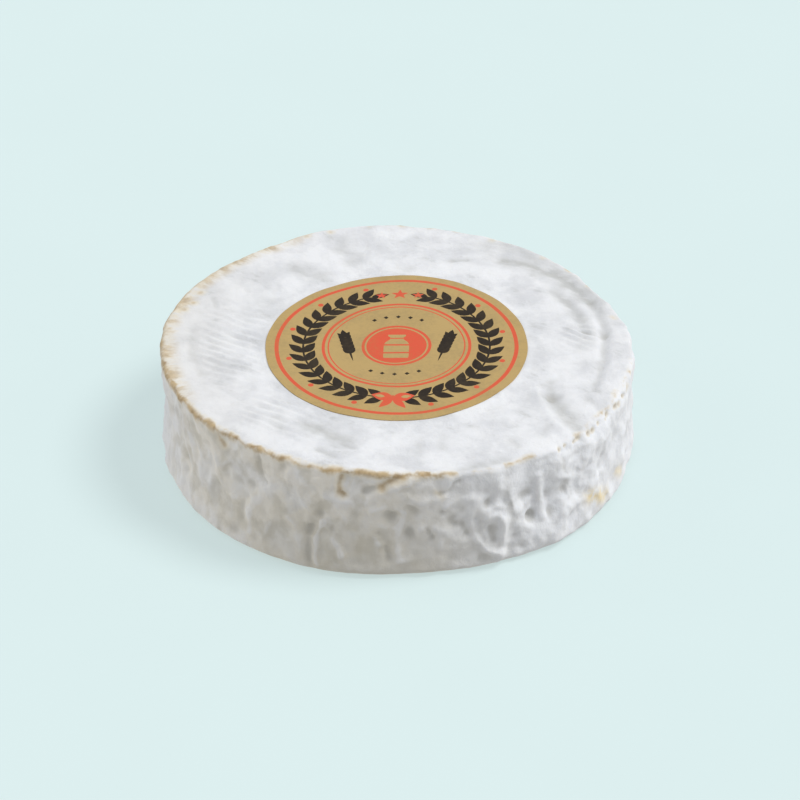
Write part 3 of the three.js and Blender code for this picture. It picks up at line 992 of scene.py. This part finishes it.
class Graph:
    """The nodes of a material or of the sky. Most calls add a node and give its output."""

    def __init__(self, owner, shader="Principled BSDF"):
        self.owner = owner
        self.owner.use_nodes = True
        self.tree = self.owner.node_tree
        self.shader = self.tree.nodes[shader]

    def set_shader(self, settings):
        """Sets the shader's sockets that have one value all over."""
        for name, value in settings.items():
            self.shader.inputs[name].default_value = value

    def join(self, value, socket):
        """Links an output to a socket, or sets the socket where value is a plain number or colour."""
        if isinstance(value, bpy.types.NodeSocket):
            self.tree.links.new(value, socket)
        else:
            socket.default_value = value

    def attribute(self, name, output="Fac"):
        node = self.tree.nodes.new("ShaderNodeAttribute")
        node.attribute_name = name
        return node.outputs[output]

    def place(self):
        """Where a point is on the object, in millimetres."""
        node = self.tree.nodes.new("ShaderNodeTexCoord")
        return self.scaled(node.outputs["Object"], (1 / MM, 1 / MM, 1 / MM))

    def work_out(self, kind, operation, values, output):
        """An output of a node that does an operation on values."""
        node = self.tree.nodes.new(kind)
        node.operation = operation
        for value, socket in zip(values, node.inputs):
            self.join(value, socket)
        return node.outputs[output]

    def math(self, operation, *values):
        return self.work_out("ShaderNodeMath", operation, values, "Value")

    def times(self, first, second):
        return self.math("MULTIPLY", first, second)

    def more(self, first, second):
        """The greater of two values."""
        return self.math("MAXIMUM", first, second)

    def dot(self, first, second):
        return self.work_out("ShaderNodeVectorMath", "DOT_PRODUCT", (first, second), "Value")

    def scaled(self, vector, factors):
        return self.work_out("ShaderNodeVectorMath", "MULTIPLY", (vector, factors), "Vector")

    def turned(self, place, heading, factors):
        """The place with its axes turned by heading in degrees about Z, then scaled."""
        node = self.tree.nodes.new("ShaderNodeMapping")
        node.vector_type = "TEXTURE"
        self.join(place, node.inputs["Vector"])
        node.inputs["Rotation"].default_value = (0, 0, math.radians(heading))
        node.inputs["Scale"].default_value = factors
        return node.outputs["Vector"]

    def noise(self, place, size, detail=2.0, roughness=0.5):
        """Noise from 0 to 1, mostly near the middle, with swells about size wide."""
        node = self.tree.nodes.new("ShaderNodeTexNoise")
        self.join(place, node.inputs["Vector"])
        node.inputs["Scale"].default_value = 1 / size
        node.inputs["Detail"].default_value = detail
        node.inputs["Roughness"].default_value = roughness
        return node.outputs["Fac"]

    def fade(self, value, start, end, low=0.0, high=1.0):
        """Eases from low to high as value goes from start to end."""
        node = self.tree.nodes.new("ShaderNodeMapRange")
        node.interpolation_type = "SMOOTHSTEP"
        self.join(value, node.inputs["Value"])
        for name, setting in (("From Min", start), ("From Max", end), ("To Min", low), ("To Max", high)):
            node.inputs[name].default_value = setting
        return node.outputs["Result"]

    def mix(self, share, first, second):
        node = self.tree.nodes.new("ShaderNodeMix")
        node.data_type = "RGBA"
        sockets = [socket for socket in node.inputs if socket.type == "RGBA"]
        self.join(share, node.inputs["Factor"])
        self.join(first, sockets[0])
        self.join(second, sockets[1])
        return next(socket for socket in node.outputs if socket.type == "RGBA")

    def bump(self, height, depth, strength):
        """Small relief from a height of 0 to 1 that stands for depth in millimetres."""
        node = self.tree.nodes.new("ShaderNodeBump")
        node.inputs["Strength"].default_value = strength
        node.inputs["Distance"].default_value = depth * MM
        self.join(height, node.inputs["Height"])
        self.join(node.outputs["Normal"], self.shader.inputs["Normal"])


def crust_masks(graph, band):
    """Where ochre crust shows along the rim, in fingers and in spots, and a wider pale halo round it."""
    way = graph.attribute("way_in")
    crust = graph.attribute("crust")
    waver = graph.math("SUBTRACT", graph.noise(band, 4.2, 3.0), 0.5)
    patchy = graph.noise(band, 5.5, 3.0, 0.6)
    off = graph.math("ABSOLUTE", graph.math("MULTIPLY_ADD", waver, 2.4, way))
    width = graph.times(crust, graph.fade(patchy, 0.36, 0.6, 0.0, 0.95))
    gap = graph.math("SUBTRACT", off, width)
    shown = graph.fade(graph.math("MULTIPLY_ADD", patchy, 0.9, crust), 0.58, 0.78)
    streaks = graph.noise(graph.scaled(band, (1.0, 1.0, 0.5)), 4.6, 4.0, 0.65)
    above = graph.times(graph.fade(way, 1.0, 6.0, 1.0, 0.0), graph.fade(way, -2.0, -0.5))
    fingers = graph.times(above, graph.attribute("fingers"))
    spots = graph.math("MULTIPLY_ADD", waver, 3.4, graph.attribute("ochre_gap"))
    core = graph.times(graph.fade(gap, -0.9, 0.75, 1.0, 0.0), shown)
    core = graph.more(core, graph.fade(spots, -1.0, 0.5, 0.75, 0.0))
    core = graph.more(core, graph.times(fingers, graph.fade(streaks, 0.42, 0.62, 0.0, 0.8)))
    halo = graph.times(graph.fade(gap, -0.2, 1.6, 1.0, 0.0), shown)
    halo = graph.more(halo, graph.fade(spots, -0.4, 1.9, 0.9, 0.0))
    halo = graph.more(halo, graph.times(fingers, graph.fade(streaks, 0.28, 0.48)))
    return core, halo


def top_colour(graph, place):
    """White mould, with cool grey clouds drawn out along the mat's grooves where it is thinner."""
    cloud = graph.noise(place, 11.0, 5.0, 0.62)
    drawn = graph.noise(graph.turned(place, MAT_MARKS["heading"], (2.0, 1.0, 1.0)), 3.4, 4.0, 0.65)
    colour = graph.mix(graph.fade(cloud, 0.36, 0.68, 0.0, 0.75), BLOOM_WHITE, BLOOM_SHADE)
    # Painted shade: the top near the rim at the left is darker, with a warmer tone.
    colour = graph.mix(graph.attribute("warm_shade"), colour, BLOOM_WARM_SHADE)
    thin = graph.times(graph.fade(drawn, 0.54, 0.74), graph.fade(cloud, 0.42, 0.62, 0.1, 0.7))
    colour = graph.mix(thin, colour, BLOOM_THIN_AND_SHADE)
    # The dull marks: thinner mould, and painted shade along the furrows and by the rim.
    dull_and_shade = graph.times(graph.attribute("dull_and_shade"), graph.fade(drawn, 0.3, 0.6, 0.45, 1.1))
    return graph.mix(dull_and_shade, colour, BLOOM_THIN_AND_SHADE)


def wall_colour(graph, band):
    """White mould over a rind, cream at the front left, mottled grey elsewhere, with painted shade low at the
    front.
    """
    side = graph.fade(graph.attribute("front_left"), 0.0, 0.8, 0.0, 1.0)
    upright = graph.scaled(band, (1.0, 1.0, 0.85))
    blotch = graph.noise(upright, 9.0, 3.0, 0.55)
    cream = graph.times(graph.fade(blotch, 0.36, 0.6, 0.45, 1.0), side)
    colour = graph.mix(cream, WALL_PALE, WALL_CREAM)
    mottle = graph.fade(graph.noise(upright, 3.2, 5.0, 0.7), 0.42, 0.7, 0.0, 0.45)
    colour = graph.mix(graph.times(mottle, graph.fade(side, 0.0, 1.0, 1.0, 0.2)), colour, MOTTLE_GREY)
    grey = graph.times(graph.fade(graph.noise(upright, 5.5, 3.0, 0.5), 0.44, 0.66, 0.0, 0.5), side)
    colour = graph.mix(grey, colour, WALL_SPECK_AND_SHADE)
    # Painted shade: the front grows darker towards the foot.
    low = graph.fade(graph.attribute("climb"), 30.0, 0.0, 0.0, 0.65)
    return graph.mix(graph.times(low, graph.attribute("shaded_front")), colour, WALL_SPECK_AND_SHADE)


def rind_material():
    """Chalky white mould on cream rind, painted shade in hollows and highlight on ridges, ochre crust at the
    rim.
    """
    graph = Graph(bpy.data.materials.new("bloomy_rind"))
    place = graph.place()
    band = graph.attribute("band", "Vector")
    wall = graph.fade(graph.attribute("way_in"), 0.4, -1.6)
    colour = graph.mix(wall, top_colour(graph, place), wall_colour(graph, band))
    relief_for_painted_shade = graph.attribute("relief_for_painted_shade")
    # Painted shade: places lower than the skin around them turn grey. Painted highlight: proud places turn
    # whiter.
    colour = graph.mix(graph.fade(relief_for_painted_shade, 0.0, -0.9, 0.0, 0.55), colour, PAINTED_HOLLOW_SHADE)
    colour = graph.mix(graph.fade(relief_for_painted_shade, 0.1, 0.6, 0.0, 0.5), colour, BLOOM_WHITE)
    stain = graph.times(graph.attribute("stain"), graph.fade(graph.noise(band, 3.0, 3.0), 0.3, 0.6))
    colour = graph.mix(stain, colour, STAIN_YELLOW)
    pits = graph.attribute("pits")
    colour = graph.mix(graph.fade(pits, 0.1, 0.5, 0.0, 0.55), colour, CRUST_HALO)
    colour = graph.mix(graph.fade(pits, 0.4, 1.0, 0.0, 0.65), colour, PIT_BROWN)
    down = graph.noise(place, 1.5, 3.0, 0.65)
    foot = graph.math("MULTIPLY_ADD", down, 3.0, graph.attribute("climb"))
    colour = graph.mix(graph.fade(foot, 1.6, 3.0, 0.4, 0.0), colour, CRUST_TAN)
    core, halo = crust_masks(graph, band)
    ochre = graph.mix(graph.fade(graph.noise(band, 2.2, 3.0), 0.38, 0.68), CRUST_TAN, CRUST_BROWN)
    colour = graph.mix(graph.times(halo, 0.75), colour, CRUST_HALO)
    colour = graph.mix(core, colour, ochre)
    graph.join(colour, graph.shader.inputs["Base Color"])
    graph.set_shader(RIND_SURFACE)
    fluff = graph.math("MULTIPLY_ADD", graph.noise(place, 0.8, 2.0, 0.6), 0.4, graph.times(down, 0.9))
    graph.bump(fluff, 0.3, 0.7)
    return graph.owner


def ink_material(name, full, thin, roughness):
    """Paper or ink that is a little uneven, with faint fibres in its surface."""
    graph = Graph(bpy.data.materials.new(name))
    place = graph.place()
    broad = graph.times(graph.noise(place, 8.0, 3.0), 0.5)
    uneven = graph.math("MULTIPLY_ADD", graph.noise(place, 1.1, 3.0, 0.7), 0.5, broad)
    graph.join(graph.mix(graph.fade(uneven, 0.42, 0.66), full, thin), graph.shader.inputs["Base Color"])
    gloss = graph.fade(graph.noise(place, 3.0), 0.3, 0.7, roughness - 0.06, roughness + 0.08)
    graph.join(gloss, graph.shader.inputs["Roughness"])
    graph.set_shader({"Specular IOR Level": 0.28})
    fibres = graph.noise(graph.scaled(place, (1.0, 0.35, 1.0)), 0.35, 2.0)
    graph.bump(fibres, 0.03, 0.6)
    return graph.owner


def gold_material():
    return ink_material("gold_paper", GOLD_PAPER, GOLD_WORN, 0.5)


def red_material():
    return ink_material("red_ink", RED_INK, RED_THIN, 0.45)


def black_material():
    return ink_material("black_ink", BLACK_INK, BLACK_THIN, 0.45)


def floor_material():
    """A pale floor that glows a little by itself, so that shadows on it stay light."""
    graph = Graph(bpy.data.materials.new("pale_floor"))
    soft = graph.noise(graph.place(), 60.0, 2.0)
    lit = tuple((1 - FLOOR_GLOW) * part / FLOOR_LIGHT for part in FLOOR_CYAN[:3]) + (1,)
    shade = tuple(0.99 * part for part in lit[:3]) + (1,)
    graph.join(graph.mix(graph.fade(soft, 0.4, 0.6), lit, shade), graph.shader.inputs["Base Color"])
    graph.set_shader({"Roughness": 1.0, "Specular IOR Level": 0.0})
    graph.set_shader({"Emission Color": FLOOR_CYAN, "Emission Strength": FLOOR_GLOW})
    return graph.owner


# Stage, light and camera

# The floor: its radius in metres, its own glow as a share of its shade, and the light that falls on it, where
# 1 makes white look white.
FLOOR_RADIUS = 6.0
FLOOR_GLOW = 0.6
FLOOR_LIGHT = 1.02

# The key light: its side and height in degrees, how wide it looks, its strength and its tint.
KEY_SIDE = 2.0
KEY_HEIGHT = 55.0
KEY_SPREAD = 24.0
KEY_STRENGTH = 1.75
KEY_TINT = (1.0, 0.995, 0.985)

# Soft light from above, from below in place of the floor's, and from two large screens, each with its side,
# height, tightness and strength.
SKY_ABOVE = (0.46, 0.465, 0.475, 1)
SKY_BELOW = (0.5, 0.49, 0.465, 1)
HORIZON_SHARPNESS = 4
SCREENS = [
    (-2, 12, 5.0, 0.75),
    (180, 12, 3.0, 0.74),
]

# The camera: its distance in metres, its height and roll in degrees, its lens in millimetres, and its aim.
CAMERA_DISTANCE = 1.0
CAMERA_HEIGHT = 34.2
CAMERA_ROLL = 1.53
CAMERA_LENS = 152.75
CAMERA_AIM = Vector((0.0006, -0.0015, 0.0152))


def make_floor():
    turns = [2 * math.pi * i / 96 for i in range(96)]
    corners = [(FLOOR_RADIUS * math.cos(turn), FLOOR_RADIUS * math.sin(turn), 0) for turn in turns]
    mesh = bpy.data.meshes.new("floor")
    mesh.from_pydata(corners, [], [tuple(range(len(corners)))])
    floor = bpy.data.objects.new("floor", mesh)
    floor.location.z = -0.1 * MM
    floor.visible_diffuse = False
    bpy.context.collection.objects.link(floor)
    mesh.materials.append(floor_material())


def direction(side, height):
    """A unit vector towards a side, in degrees from +X, and a height over the horizon."""
    side, height = math.radians(side), math.radians(height)
    return Vector((math.cos(side) * math.cos(height), math.sin(side) * math.cos(height), math.sin(height)))


def make_key():
    lamp = bpy.data.lights.new("key", "SUN")
    lamp.energy = KEY_STRENGTH
    lamp.angle = math.radians(KEY_SPREAD)
    lamp.color = KEY_TINT
    key = bpy.data.objects.new("key", lamp)
    towards = direction(KEY_SIDE, KEY_HEIGHT)
    key.rotation_euler = towards.to_track_quat("Z", "Y").to_euler()
    key.location = towards
    bpy.context.collection.objects.link(key)


def make_sky():
    """Even light from above and, in place of the floor's, from below, with two soft screens at the sides."""
    graph = Graph(bpy.data.worlds.new("sky"), "Background")
    way = graph.tree.nodes.new("ShaderNodeTexCoord").outputs["Generated"]
    rise = graph.dot(way, (0, 0, HORIZON_SHARPNESS))
    total = graph.mix(graph.math("ADD", rise, 0.5), SKY_BELOW, SKY_ABOVE)
    for side, height, tightness, strength in SCREENS:
        facing = graph.more(graph.dot(way, direction(side, height)), 0.0)
        glow = graph.times(graph.math("POWER", facing, tightness), strength)
        total = graph.work_out("ShaderNodeVectorMath", "ADD", (total, glow), "Vector")
    graph.join(total, graph.shader.inputs["Color"])
    bpy.context.scene.world = graph.owner


def make_camera():
    lens = bpy.data.cameras.new("camera")
    lens.lens = CAMERA_LENS
    lens.clip_end = 50
    camera = bpy.data.objects.new("camera", lens)
    height = math.radians(CAMERA_HEIGHT)
    back = Vector((0, -math.cos(height), math.sin(height)))
    turn = back.to_track_quat("Z", "Y").to_matrix() @ Matrix.Rotation(math.radians(-CAMERA_ROLL), 3, "Z")
    camera.matrix_world = Matrix.Translation(CAMERA_AIM + CAMERA_DISTANCE * back) @ turn.to_4x4()
    bpy.context.collection.objects.link(camera)
    bpy.context.scene.camera = camera


make_rind()
make_label()
make_floor()
make_key()
make_sky()
make_camera()
bpy.context.scene.view_settings.view_transform = "Standard"
